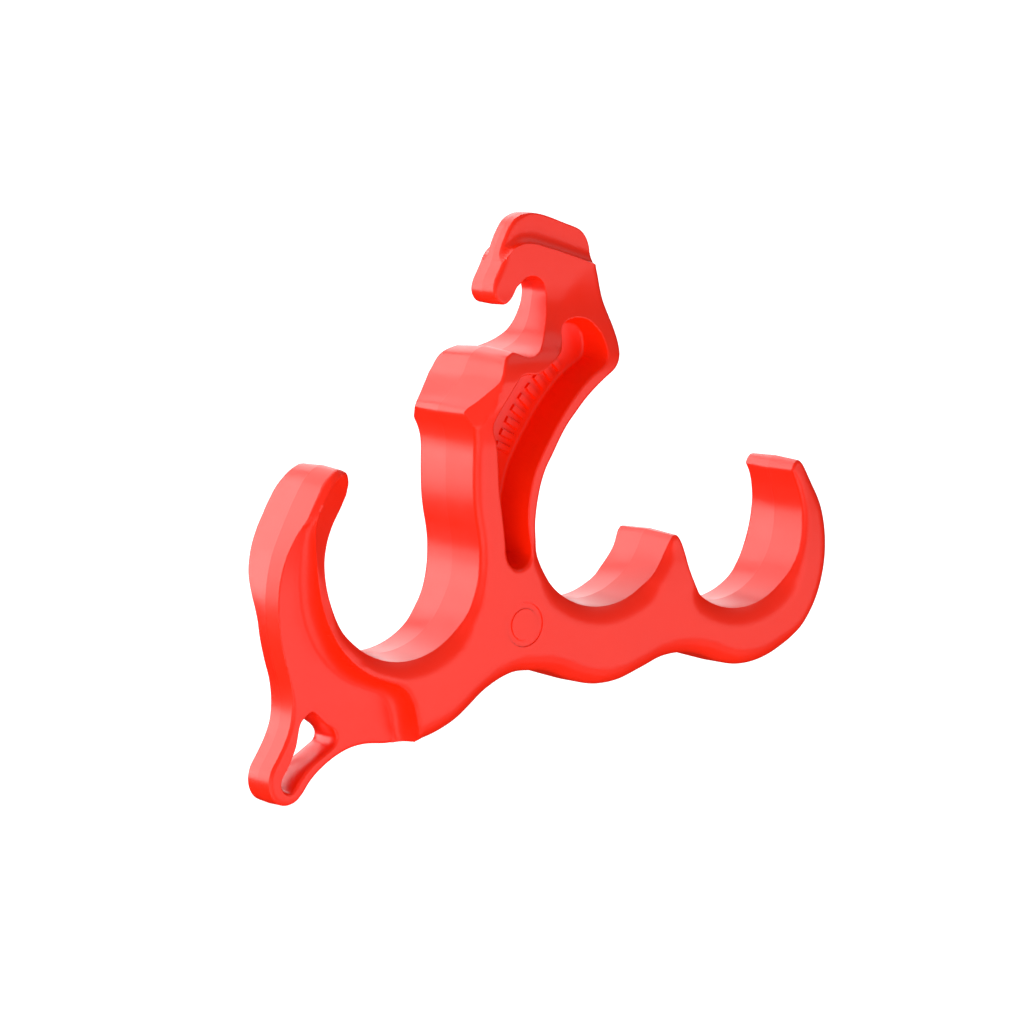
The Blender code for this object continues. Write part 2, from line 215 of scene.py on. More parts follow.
OUTLINE = [
    ("hook_tip", [(-4.4, -1.0), (-5.0, -1.2), (-5.7, -0.95), (-6.3, -0.3), (-6.6, 0.7)]),
    ("hook_back", [(-6.4, 1.85), (-5.5, 3.5), (-4.9, 4.7)]),
    ("fin_front", [(-4.4, 6.4), (-3.3, 8.6), (-2.3, 9.8), (-1.1, 10.4)]),
    ("fin_top", [(0.4, 10.6), (2.3, 10.3), (5.8, 9.1), (8.6, 8.0), (9.5, 7.1), (10.05, 5.9), (10.3, 4.4)]),
    ("head_side", [(10.5, 3.1), (10.8, 1.9), (11.0, 0.5), (11.3, -1.5), (11.7, -3.2), (12.05, -4.8),
                   (12.25, -6.3), (12.2, -7.7), (11.95, -8.9), (11.6, -9.7), (10.9, -10.5)]),
    ("neck_side", [(9.3, -11.5), (7.6, -12.7), (5.9, -14.1), (4.4, -15.6), (2.8, -17.3), (1.5, -19.1),
                   (0.4, -20.9), (-0.8, -22.8), (-1.6, -24.7), (-2.15, -26.8), (-2.5, -28.9)]),
    ("neck_side", arc(MIDDLE_BAY, 180, 188, 2)),
    ("bay_entry", arc(MIDDLE_BAY, 199, 214, 2)),
    ("bay_floor", arc(MIDDLE_BAY, 228, 305, 6)),
    ("bump_left", arc(MIDDLE_BAY, 314, 330, 3)),
    ("bump", [(20.9, -34.2), (21.3, -33.78), (21.8, -33.75), (22.3, -34.2), (22.75, -35.0), (23.2, -36.3),
              (23.8, -38.4), (25.0, -41.0)]),
    ("bay_floor", arc(THIRD_BAY, 232, 312, 7)),
    ("bay_entry", arc(THIRD_BAY, 322, 326, 2)),
    ("bay_side", arc(THIRD_BAY, 338, 350, 2) + [(44.5, -33.5), (44.5, -31.8), (44.25, -30.3), (43.9, -28.9),
                                                (43.4, -27.6)]),
    ("third_tip", [(42.98, -26.68), (43.0, -26.5), (43.35, -25.8), (43.7, -25.45), (44.2, -25.35),
                   (44.9, -25.9)]),
    ("third_outer", [(46.6, -28.5), (48.05, -31.8), (48.6, -35.9), (48.15, -40.6), (46.6, -45.1),
                     (44.1, -48.6)]),
    ("underside", [(40.8, -51.3), (36.9, -52.7), (33.3, -52.9), (30.3, -52.2), (27.2, -51.0), (23.8, -50.3),
                   (20.0, -50.5), (16.3, -51.7), (12.2, -52.9), (8.3, -53.0), (4.5, -52.0), (1.0, -50.6),
                   (-2.0, -50.1), (-5.0, -50.0), (-7.6, -50.7), (-10.4, -52.1), (-12.7, -53.8),
                   (-14.9, -55.3), (-17.9, -56.6), (-20.6, -57.3)]),
    ("lug_foot", [(-23.6, -57.7), (-27.6, -57.4), (-30.1, -57.7), (-32.5, -58.6), (-34.8, -60.0),
                  (-36.3, -61.3), (-37.6, -62.9), (-38.7, -63.8)]),
    ("lug_side", [(-40.1, -64.1), (-41.4, -63.7), (-42.3, -62.7), (-42.7, -61.2), (-42.4, -59.5),
                  (-41.4, -57.9), (-40.2, -55.9), (-39.3, -53.7), (-39.0, -51.2)]),
    ("plate_edge", [(-39.2, -48.4), (-40.0, -45.5), (-40.7, -42.4), (-41.0, -39.6), (-41.0, -36.9),
                    (-40.65, -34.2), (-39.9, -31.5), (-38.9, -29.3)]),
    ("index_crest", [(-37.75, -27.1)]),
    ("index_side", [(-36.85, -25.4), (-35.9, -23.8)]),
    ("index_tip", [(-35.0, -22.5), (-33.8, -21.35)]),
    ("index_end", [(-32.7, -20.8), (-31.7, -21.0), (-30.85, -21.65), (-30.35, -22.6)]),
    ("index_inner", [(-30.4, -23.7), (-31.5, -25.7), (-33.15, -28.0), (-34.3, -30.2), (-35.0, -32.6)]),
    ("index_inner", arc(INDEX_BAY, 185, 200, 2)),
    ("bay_entry", arc(INDEX_BAY, 216, 226, 2)),
    ("bay_floor", arc(INDEX_BAY, 240, 312, 6)),
    ("bay_entry", arc(INDEX_BAY, 325, 335, 2)),
    ("neck_left", arc(INDEX_BAY, 346, 355, 2) + [(-11.42, -34.0), (-11.46, -32.5), (-11.7, -30.7),
                                                 (-12.05, -28.9), (-12.32, -27.0), (-12.43, -25.0),
                                                 (-12.44, -22.0), (-12.4, -19.6), (-12.5, -18.3),
                                                 (-12.8, -17.0), (-13.2, -15.95)]),
    ("facet_edge", [(-13.5, -15.25), (-13.68, -14.85), (-13.62, -14.5), (-13.4, -14.2), (-12.2, -13.2),
                    (-11.2, -12.25)]),
    ("block_left", [(-10.2, -11.3), (-9.5, -10.5), (-9.1, -9.8), (-8.6, -8.7), (-8.0, -7.9), (-7.3, -7.5)]),
    ("sill", [(-6.6, -7.25), (-6.2, -7.15), (-5.8, -7.2), (-5.2, -7.5), (-4.3, -7.85), (-3.4, -7.8),
              (-2.5, -7.5), (-1.6, -7.1), (-0.7, -6.5), (0.4, -5.4), (1.2, -3.9), (1.65, -2.4),
              (1.85, -1.1)]),
    ("throat", arc(THROAT, 0, 140, 7) + [(-2.8, 1.0), (-3.3, 0.2), (-3.75, -0.45)]),
]

POCKET = [
    ("pocket_rim", [(3.2, -5.6), (3.7, -4.5), (4.6, -3.8), (6.0, -3.5), (7.2, -3.6), (8.25, -4.0),
                    (9.0, -4.75), (9.6, -5.6), (9.9, -6.7), (10.0, -7.9), (9.7, -9.2), (8.8, -10.0),
                    (7.4, -10.8), (5.7, -12.0), (4.2, -13.4), (2.6, -15.1), (1.0, -17.1), (-0.4, -19.1),
                    (-1.5, -20.8), (-2.7, -23.0), (-3.35, -25.0), (-3.8, -27.2), (-3.9, -29.3),
                    (-3.75, -31.2), (-3.4, -33.2)]),
    ("pocket_foot", [(-3.35, -34.6), (-4.1, -35.55), (-5.3, -35.95), (-6.5, -35.4), (-7.25, -34.2)]),
    ("pocket_rim", [(-7.6, -32.3), (-7.85, -30.3), (-8.2, -27.8), (-8.6, -25.0), (-8.75, -22.0),
                    (-9.1, -19.0), (-9.9, -17.2), (-10.1, -16.0), (-9.5, -14.4), (-8.2, -12.7),
                    (-7.2, -11.4), (-6.2, -10.3), (-5.0, -10.0), (-3.6, -10.1), (-2.2, -9.6), (-0.9, -8.9),
                    (0.6, -8.1), (1.7, -7.6), (2.6, -6.8)]),
]

SLOT = [
    ("slot_thin", [(-36.0, -52.2), (-37.2, -52.9), (-37.8, -53.6), (-38.6, -56.7), (-39.8, -59.1),
                   (-40.8, -60.7), (-40.8, -61.6)]),
    ("slot_chamfer", [(-40.3, -62.3), (-39.5, -62.55), (-38.8, -62.1), (-37.8, -60.8), (-36.3, -59.3),
                      (-33.7, -57.7), (-32.5, -56.9), (-32.2, -56.0), (-32.6, -55.1)]),
    ("slot_thin", [(-33.9, -54.0), (-35.0, -52.9)]),
]

# The rim that runs down the index hook and under its bay, and the crest of the tip above it. Each point has
# its height. The BEYOND lists close the zones outside them.
RIM = [(-36.1, -26.0, 4.75), (-36.5, -27.2, 4.7), (-36.7, -28.4, 4.65), (-36.7, -30.0, 4.65),
       (-36.6, -32.0, 4.7), (-36.4, -35.1, 4.9), (-36.0, -38.2, 5.25), (-35.2, -40.9, 5.65),
       (-33.7, -43.7, 6.05), (-31.7, -45.9, 6.3), (-29.4, -47.5, 6.4), (-26.6, -48.7, 6.4),
       (-24.8, -49.4, 6.4), (-23.4, -50.6, 6.4), (-22.5, -52.2, 6.4), (-22.0, -54.2, 6.4),
       (-21.6, -56.5, 6.4), (-21.4, -59.5, 6.4)]
BEYOND_TIP = [(-38.0, -18.0), (-30.0, -18.0)]
BEYOND_RIM = [(-24.0, -64.0), (-34.0, -70.0), (-46.0, -70.0), (-49.0, -50.0), (-47.0, -32.0),
              (-41.0, -25.0)]
TIP_CREST = [(-31.5, -21.3, 4.6), (-32.6, -21.4, 4.75), (-33.9, -22.3, 4.85), (-35.0, -23.9, 4.85)]

# The inner edge of the index hook carries on round its bay, by angles and a count.
INNER_EDGE_ARC = (205, 260, 12)

# The foot of the fin along the blade's top, and the zone above it.
BLADE_TOP = [(-8.0, 2.6), (-5.6, 3.9), (-4.4, 5.1), (-3.3, 6.1), (-1.6, 6.6), (0.3, 6.5), (2.1, 6.0),
             (5.7, 4.9), (9.3, 3.7), (13.0, 2.5)]
BEYOND_BLADE = [(17.0, 8.0), (10.0, 15.0), (-4.0, 16.0), (-12.0, 9.0)]


def spline(points, step, closed):
    """Points about every step along a centripetal Catmull-Rom curve.

    The columns after the first two run straight from point to point.
    """
    p = np.array(points, float)
    if closed:
        p = np.vstack([p[-1], p, p[0], p[1]])
    else:
        p = np.vstack([2 * p[0] - p[1], p, 2 * p[-1] - p[-2]])
    made = []
    for a, b, c, d in zip(p, p[1:], p[2:], p[3:]):
        t1 = np.linalg.norm(b[:2] - a[:2]) ** 0.5
        t2 = t1 + np.linalg.norm(c[:2] - b[:2]) ** 0.5
        t3 = t2 + np.linalg.norm(d[:2] - c[:2]) ** 0.5
        count = max(1, round(float(np.linalg.norm(c[:2] - b[:2])) / step))
        for k in range(count):
            t = t1 + (t2 - t1) * k / count
            ab = a + (b - a) * t / t1
            bc = b + (c - b) * (t - t1) / (t2 - t1)
            cd = c + (d - c) * (t - t2) / (t3 - t2)
            abc = ab + (bc - ab) * t / t2
            bcd = bc + (cd - bc) * (t - t1) / (t3 - t1)
            point = abc + (bcd - abc) * (t - t1) / (t2 - t1)
            point[2:] = b[2:] + (c[2:] - b[2:]) * k / count
            made.append(point)
    if not closed:
        made.append(p[-2])
    return np.array(made)


def loop_of(sections, step):
    """A closed edge: its points, and its edge finish at each, eased from one stretch to the next."""
    rows = [(*point, *EDGES[name]) for name, points in sections for point in points]
    made = spline(rows, step, True)
    reach = max(1, round(EDGE_BLEND / step))
    finish = made[:, 2:]
    blended = sum(np.roll(finish, k, axis=0) for k in range(-reach, reach + 1)) / (2 * reach + 1)
    return made[:, :2], blended


def with_crossings(loop, finish, curve):
    """The closed loop with close-set points where an open curve crosses it, one of them at the crossing."""
    step = np.linalg.norm(np.roll(loop, -1, axis=0) - loop, axis=1)
    along = np.concatenate([[0], np.cumsum(step)])
    closed = np.column_stack([np.vstack([loop, loop[:1]]), np.vstack([finish, finish[:1]])])
    kept, added = along[:-1], []
    for i, (a, b) in enumerate(zip(closed, closed[1:])):
        for c, d in zip(curve, curve[1:]):
            spot = crossing(a[:2], b[:2], c, d)
            if spot is not None:
                at = along[i] + spot * step[i]
                kept = kept[np.abs(kept - at) > CROSSING_STEPS[-1] + CROSSING_STEPS[1]]
                added += [at + way * reach for reach in CROSSING_STEPS for way in (-1, 1)]
    places = np.unique(np.concatenate([kept, added]))
    made = np.column_stack([np.interp(places, along, column) for column in closed.T])
    return made[:, :2], made[:, 2:]


def crossing(a, b, c, d):
    """Where along the line from a to b the line from c to d crosses it, if it does."""
    ab, cd, ac = b - a, d - c, c - a
    turn = ab[0] * cd[1] - ab[1] * cd[0]
    if abs(turn) < 1e-12:
        return None
    t, u = (ac[0] * cd[1] - ac[1] * cd[0]) / turn, (ac[0] * ab[1] - ac[1] * ab[0]) / turn
    return t if 0 <= t < 1 and 0 <= u < 1 else None


def clockwise(loop):
    """Whether a closed loop runs from +Z towards +X."""
    return np.sum(loop[:, 0] * np.roll(loop[:, 1], -1) - np.roll(loop[:, 0], -1) * loop[:, 1]) < 0


def outward(loop):
    """Unit vectors square to a closed loop, pointing out of it."""
    along = np.roll(loop, -1, axis=0) - np.roll(loop, 1, axis=0)
    along /= np.linalg.norm(along, axis=1)[:, None]
    square = np.stack([along[:, 1], -along[:, 0]], axis=1)
    return -square if clockwise(loop) else square


def inside(points, loop):
    """Which points lie inside a closed loop."""
    x, z = points[:, 0][:, None], points[:, 1][:, None]
    x0, z0 = loop[:, 0], loop[:, 1]
    x1, z1 = np.roll(x0, -1), np.roll(z0, -1)
    crosses = (z0 > z) != (z1 > z)
    rise = np.where(z1 == z0, 1e-12, z1 - z0)
    return (np.sum(crosses & (x < x0 + (z - z0) / rise * (x1 - x0)), axis=1) % 2).astype(bool)


def in_chunks(work, points, size=600):
    """The columns that work returns, made a few points at a time to save memory."""
    parts = [work(points[i:i + size]) for i in range(0, len(points), size)]
    return [np.concatenate(columns) for columns in zip(*parts)]


def segment_distance(points, starts, ends):
    """For every point and segment: the distance, and where along the segment the nearest spot is."""
    run = ends - starts
    length2 = np.maximum(np.sum(run * run, axis=1), 1e-12)
    away = points[:, None, :] - starts[None]
    t = np.clip(np.sum(away * run[None], axis=2) / length2, 0, 1)
    gap = away - t[..., None] * run[None]
    return np.sqrt(np.sum(gap * gap, axis=2)), t


def nearest(points, curve, closed=False):
    """The distance from each point to a curve, and the value of the curve's third column there."""
    following = np.roll(curve, -1, axis=0) if closed else curve[1:]
    starts = curve if closed else curve[:-1]

    def work(some):
        distance, t = segment_distance(some, starts[:, :2], following[:, :2])
        best = np.argmin(distance, axis=1)
        rows = np.arange(len(some))
        if curve.shape[1] < 3:
            return distance[rows, best], np.zeros(len(some))
        value = starts[best, 2] + (following[best, 2] - starts[best, 2]) * t[rows, best]
        return distance[rows, best], value

    return in_chunks(work, points)


def edge_drop(points, loops):
    """How far the face is turned down at each point by the edges near it."""
    starts = np.vstack([loop for loop, _ in loops])
    ends = np.vstack([np.roll(loop, -1, axis=0) for loop, _ in loops])
    finish0 = np.vstack([finish for _, finish in loops])
    finish1 = np.vstack([np.roll(finish, -1, axis=0) for _, finish in loops])

    def work(some):
        distance, t = segment_distance(some, starts, ends)
        drop, width, roundness = (finish0[:, k] + (finish1[:, k] - finish0[:, k]) * t for k in (1, 2, 3))
        u = np.clip(1 - distance / width, 0, 1)
        profile = (1 - roundness) * u * u + roundness * (1 - np.sqrt(np.maximum(0, 1 - u * u)))
        return (np.max(drop * profile, axis=1),)

    return in_chunks(work, points)[0]


def eased(knots, at):
    """A smooth line through (place, value) knots that never overshoots them."""
    x, y = np.array(knots).T
    step = np.diff(x)
    rise = np.diff(y) / step
    slope = np.zeros(len(x))
    steady = rise[:-1] * rise[1:] > 0
    w0, w1 = 2 * step[1:] + step[:-1], step[1:] + 2 * step[:-1]
    with np.errstate(divide="ignore", invalid="ignore"):
        slope[1:-1] = np.where(steady, (w0 + w1) / (w0 / rise[:-1] + w1 / rise[1:]), 0)
    at = np.clip(at, x[0], x[-1])
    i = np.clip(np.searchsorted(x, at, side="right") - 1, 0, len(x) - 2)
    t = (at - x[i]) / step[i]
    return ((2 * t**3 - 3 * t**2 + 1) * y[i] + (t**3 - 2 * t**2 + t) * step[i] * slope[i]
            + (3 * t**2 - 2 * t**3) * y[i + 1] + (t**3 - t**2) * step[i] * slope[i + 1])


def fillet(distance, width, hollow):
    """The share of a step's height left at a distance from its top edge, on a fillet of that width."""
    u = np.clip(1 - distance / width, 0, 1)
    return hollow * (1 - np.sqrt(np.maximum(0, 1 - u * u))) + (1 - hollow) * u * u


def smoothstep(low, high, at):
    t = np.clip((at - low) / (high - low), 0, 1)
    return t * t * (3 - 2 * t)


class Side:
    """The shape of the sides: their edges, and their faces' height at any (x, z)."""

    def __init__(self):
        self.outline, self.outline_finish = loop_of(OUTLINE, OUTLINE_STEP)
        self.pocket, pocket_finish = loop_of(POCKET, OUTLINE_STEP)
        self.slot, slot_finish = loop_of(SLOT, SLOT_STEP)
        self.rim = spline(RIM, OUTLINE_STEP, False)
        self.crest = spline(TIP_CREST + RIM, OUTLINE_STEP, False)
        self.blade_top = spline(BLADE_TOP, OUTLINE_STEP, False)
        for curve in (self.rim[:, :2], self.blade_top):
            self.outline, self.outline_finish = with_crossings(self.outline, self.outline_finish, curve)
        self.plate_zone = np.vstack([self.rim[:, :2], BEYOND_RIM])
        self.beyond_crest = np.vstack([self.crest[:, :2], BEYOND_RIM, BEYOND_TIP])
        self.fin_zone = np.vstack([self.blade_top, BEYOND_BLADE])
        self.inner_edge = np.array([p for name, points in OUTLINE if name == "index_inner" for p in points]
                                   + arc(INDEX_BAY, *INNER_EDGE_ARC))
        on_plate = inside(self.outline, self.plate_zone)
        x, z = self.outline.T
        below = z < UNDERSIDE_TOP
        on_tip = (x < TIP_FACE_RIGHT) & (z > PLATE_EMERGES[1])
        face_edge = ~on_plate | on_tip | ((x > UNDERSIDE_FACE_LEFT) & below)
        plate_edge = on_plate & ~((x > UNDERSIDE_PLATE_RIGHT) & below)
        self.face_loops = [self.outline_part(face_edge), (self.pocket, pocket_finish)]
        self.plate_loops = [self.outline_part(plate_edge), (self.slot, slot_finish)]
        self.rim_final = np.column_stack([self.rim[:, :2], self.full_height(self.rim[:, :2])])
        self.blade_final = np.column_stack([self.blade_top, self.full_height(self.blade_top)])

    def outline_part(self, keep):
        """The outline with its edge turned down only where keep says."""
        finish = self.outline_finish.copy()
        finish[~keep, 1] = 0
        return self.outline, finish

    def neck_height(self, x, z):
        (top_x, top_z), (foot_x, foot_z) = NECK_LINE
        run = hypot(top_x - foot_x, top_z - foot_z)
        across = ((x - foot_x) * (top_z - foot_z) - (z - foot_z) * (top_x - foot_x)) / run
        left, right = eased(NECK_LEFT, z), eased(NECK_RIGHT, z)
        return left + (right - left) * smoothstep(-NECK_SPREAD, NECK_SPREAD, across)

    def index_heights(self, p, back):
        """The height of the strip beside the index bay, and of the face under that bay."""
        z = p[:, 1]
        from_crest, crest = nearest(p, self.crest)
        from_inner, _ = nearest(p, self.inner_edge)
        t = from_crest / np.maximum(from_crest + from_inner, 1e-6)
        if back:
            t = np.where(inside(p, self.beyond_crest), 0.0, t)
            crest = crest + eased(BACK_LIFT, z)
        inner = eased(INDEX_INNER, z)
        slanted = smoothstep(*STRIP_SLANTS, z)
        strip = inner + (crest - inner) * (1 - t * slanted - smoothstep(*STRIP_STEP, t) * (1 - slanted))
        return strip, np.minimum(HANDLE_FACE, crest + UNDER_BAY_SLOPE * from_crest)

    def full_height(self, p, back=False):
        """The height of all but the fin and the plate, with the edges turned down."""
        x, z = p[:, 0], p[:, 1]
        height = self.neck_height(x, z)
        height = np.where(x > THIRD_HOOK_LEFT, eased(THIRD_HOOK, z), height)
        height = np.where((x > BUMP_LEFT) & (x <= THIRD_HOOK_LEFT), eased(BUMP, z), height)
        height = np.where((x > HANDLE_LEFT) & (x <= BUMP_LEFT) & (z < HANDLE_TOP), HANDLE_FACE, height)
        strip, under_bay = self.index_heights(p, back)
        height = np.where(x <= HANDLE_LEFT, strip, height)
        height = np.where((x < UNDER_BAY_RIGHT) & (z < UNDER_BAY_TOP), under_bay, height)
        plane = FACET_AT[2] + FACET_SLOPE[0] * (x - FACET_AT[0]) + FACET_SLOPE[1] * (z - FACET_AT[1])
        dropped = height - edge_drop(p, self.face_loops)
        on_facet = (x > FACET_X[0]) & (x < FACET_X[1]) & (z > FACET_Z[0]) & (z < FACET_Z[1])
        return np.where(on_facet, np.minimum(dropped, plane), dropped)

    def height(self, p, back=False):
        """The whole face's height: the fin stands back from the blade, and the plate from the rim."""
        x, z = p[:, 0], p[:, 1]
        height = self.full_height(p, back)
        from_top, top = nearest(p, self.blade_final)
        step = (top - FIN_FACE) * fillet(from_top, eased(FIN_FILLET, x), FIN_HOLLOW)
        fin = FIN_FACE - edge_drop(p, self.face_loops) + step
        height = np.where(inside(p, self.fin_zone), np.minimum(fin, top), height)
        from_rim, rim = nearest(p, self.rim_final)
        if back:
            rim = rim + eased(BACK_LIFT, z)
        plate = eased(BACK_PLATE_TOP if back else PLATE_TOP, z) - edge_drop(p, self.plate_loops)
        plate = plate + (rim - plate) * fillet(from_rim, eased(RIM_FILLET, z), RIM_HOLLOW)
        emerged = smoothstep(-PLATE_EMERGES[0], -PLATE_EMERGES[1], -z)
        plate = height + (plate - height) * emerged
        return np.where(inside(p, self.plate_zone), plate, height)


# ---------------------------------------------------------------- shape: meshing


def circle(centre, radius, count):
    turns = np.linspace(0, 2 * np.pi, count, endpoint=False)
    return np.column_stack([centre[0] + radius * np.cos(turns), centre[1] + radius * np.sin(turns)])


def mark_drop(p):
    """How far the plain ring is sunk into the handle's face at each point."""
    r = np.hypot(p[:, 0] - MARK_AT[0], p[:, 1] - MARK_AT[1])
    outer, inner = MARK_RING
    return np.clip(np.minimum(outer - r, r - inner) / MARK_EDGE, 0, 1) * MARK_DEPTH


def tree_of(points):
    """A search tree over (x, z) points."""
    tree = KDTree(len(points))
    for i, (x, z) in enumerate(points):
        tree.insert((x, z, 0), i)
    tree.balance()
    return tree


def grid_over(points, step):
    """Points in staggered rows that cover the given ones."""
    low, high = points.min(axis=0), points.max(axis=0)
    made = []
    for k, z in enumerate(np.arange(low[1], high[1], step * ROW_SPACING)):
        x = np.arange(low[0] + (k % 2) * step / 2, high[0], step)
        made.append(np.column_stack([x, np.full(len(x), z)]))
    return np.vstack(made)


def between(points, outer_loop, hole_loops):
    """Which points lie inside outer_loop and outside hole_loops."""
    keep = in_chunks(lambda some: (inside(some, outer_loop),), points)[0]
    for hole in hole_loops:
        keep &= ~in_chunks(lambda some: (inside(some, hole),), points)[0]
    return keep


def triangulate(fixed, edges, free, outer_loop, hole_loops):
    """The triangles inside outer_loop and outside hole_loops.

    Returns their points, the triangles, and where each given point, fixed ones first, is among the points.
    """
    points = np.vstack([fixed, free])
    flat = [Vector(p) for p in points]
    made, _, faces, origin, _, _ = delaunay_2d_cdt(flat, edges, [], 0, 1e-7)
    made = np.array([tuple(v) for v in made])
    triangles = np.array([f for f in faces if len(f) == 3])
    triangles = triangles[between(made[triangles].mean(axis=1), outer_loop, hole_loops)]
    place = np.full(len(points), -1)
    for now, was in enumerate(origin):
        for i in was:
            place[i] = now
    return made, triangles, place


def oriented(points, triangles):
    """The triangles, all turned the same way in the plane."""
    a, b, c = (points[triangles[:, k]] for k in range(3))
    area = (b[:, 0] - a[:, 0]) * (c[:, 1] - a[:, 1]) - (b[:, 1] - a[:, 1]) * (c[:, 0] - a[:, 0])
    return np.where((area > 0)[:, None], triangles, triangles[:, ::-1])


class Builder:
    """Collects the vertices and faces of the front side."""

    def __init__(self):
        self.points, self.faces = [], []

    def add(self, xz, heights):
        """Adds points at their heights in front of the parting plane, and returns their numbers."""
        first = len(self.points)
        heights = np.broadcast_to(heights, (len(xz),))
        self.points += [(x, -height, z) for (x, z), height in zip(xz, heights)]
        return np.arange(first, first + len(xz))

    def strip(self, a, b, flip=False):
        """A closed band between two rings of equally many vertices."""
        for i in range(len(a)):
            j = (i + 1) % len(a)
            face = (a[i], a[j], b[j], b[i])
            self.faces.append(face[::-1] if flip else face)


def pick_free(candidates, placed, clearance):
    """The candidates that keep clear of the points that are placed already."""
    tree = tree_of(placed)
    kept = [p for p in candidates if tree.find((p[0], p[1], 0))[2] > clearance]
    return np.array(kept).reshape(-1, 2)


def line_inside(curve, outline, clear):
    """The stretch of an open curve well inside the outline."""
    distance, _ = nearest(curve, outline, closed=True)
    keep = inside(curve, outline) & (distance > clear)
    return curve[keep]


def ring_edges(first, count):
    """The edges of a closed ring whose points are numbered on from first."""
    return [(first + i, first + (i + 1) % count) for i in range(count)]


def fixed_lines(side):
    """The points and edges that the face keeps: its loops, the rim, the blade's top and the mark."""
    points, edges = [], []
    count = 0
    for loop in (side.outline, side.pocket, side.slot):
        points.append(loop)
        edges += ring_edges(count, len(loop))
        count += len(loop)
    outline_tree = tree_of(side.outline)
    for curve in (side.rim[:, :2], side.blade_top):
        line = line_inside(curve, side.outline, LINE_CLEARANCE)
        points.append(line)
        edges += [(count + i, count + i + 1) for i in range(len(line) - 1)]
        for end in (0, len(line) - 1):
            x, z = line[end]
            _, nearby, gap = outline_tree.find((x, z, 0))
            if gap < JOIN_REACH:
                edges.append((nearby, count + end))
        count += len(line)
    outer, inner = MARK_RING
    for radius in (outer, outer - MARK_EDGE, inner, inner + MARK_EDGE):
        points.append(circle(MARK_AT, radius, MARK_POINTS))
        edges += ring_edges(count, MARK_POINTS)
        count += MARK_POINTS
    return np.vstack(points), edges


def edge_rows(side):
    """Rows of points that follow the outline, the pocket and the slot."""
    rows = []
    loops = [(side.outline, -1), (side.pocket, 1), (side.slot, 1)]
    for loop, way in loops:
        square = outward(loop)
        for distance in EDGE_ROWS:
            row = (loop + way * square * distance)[::1 if distance < SPARSE_FROM else 2]
            gap = np.min([nearest(row, other, closed=True)[0] for other, _ in loops], axis=0)
            rows.append(row[gap > ROW_KEPT * distance])
    return rows


def step_rows(side):
    """Rows of points that follow the rim over the plate, and the blade's top edge over the fin."""
    rows = []
    for curve, zone in ((side.rim[:, :2], side.plate_zone), (side.blade_top, side.fin_zone)):
        along = np.gradient(curve, axis=0)
        along /= np.linalg.norm(along, axis=1)[:, None]
        square = np.column_stack([along[:, 1], -along[:, 0]])
        for distance in RIM_ROWS:
            for way in (-1, 1):
                row = curve + way * square * distance
                gap, _ = nearest(row, curve)
                rows.append(row[(gap > ROW_KEPT * distance) & inside(row, zone)])
    return rows


def free_points(side, fixed):
    """The points between the fixed ones: rows beside the edges first, then a grid over the rest."""
    spaced = [(row, ROW_CLEARANCE) for row in edge_rows(side) + step_rows(side)]
    spaced.append((grid_over(side.outline, GRID_STEP), GRID_CLEARANCE))
    kept = fixed
    for row, clearance in spaced:
        if len(row):
            row = row[between(row, side.outline, [side.pocket, side.slot])]
            kept = np.vstack([kept, pick_free(row, kept, clearance)])
    return kept[len(fixed):]


def rib_loops():
    """The ribs on the pocket's floor: for each, its foot and its top, as closed loops."""
    line = spline(RIB_LINE, RIB_LINE_STEP, False)
    length = np.concatenate([[0], np.cumsum(np.linalg.norm(np.diff(line, axis=0), axis=1))])
    corners = [(-1, -1), (0, -1), (1, -1), (1, -RIB_THIRD), (1, RIB_THIRD), (1, 1), (0, 1), (-1, 1),
               (-1, RIB_THIRD), (-1, -RIB_THIRD)]
    ribs = []
    for place in np.linspace(RIB_END_GAP, length[-1] - RIB_END_GAP, RIB_COUNT):
        at = np.array([np.interp(place, length, line[:, k]) for k in (0, 1)])
        ahead = np.array([np.interp(place + RIB_AHEAD, length, line[:, k]) for k in (0, 1)])
        along = (ahead - at) / np.linalg.norm(ahead - at)
        square = np.array([along[1], -along[0]])
        pair = []
        for grow in (RIB_EDGE, 0.0):
            half_w, half_l = RIB_WIDTH / 2 + grow, RIB_LENGTH / 2 + grow
            pair.append(np.array([at + along * half_w * a + square * half_l * b for a, b in corners]))
        ribs.append(pair)
    return ribs


def add_pocket_wall(builder, side, rim_ids):
    """The pocket's wall and the fillet at its foot: the last ring's points and their numbers."""
    square = outward(side.pocket)
    rim_height = np.array([-builder.points[i][1] for i in rim_ids])
    foot = POCKET_FLOOR + POCKET_FILLET
    rings = [(POCKET_DRAFT * share, rim_height + (foot - rim_height) * share) for share in WALL_SHARES]
    for turn in FILLET_TURNS:
        inset = POCKET_DRAFT + POCKET_FILLET * (1 - cos(radians(turn)))
        rings.append((inset, foot - POCKET_FILLET * sin(radians(turn))))
    last = rim_ids
    for inset, height in rings:
        loop = side.pocket - square * inset
        ring = builder.add(loop, height)
        builder.strip(last, ring)
        last = ring
    return loop, last


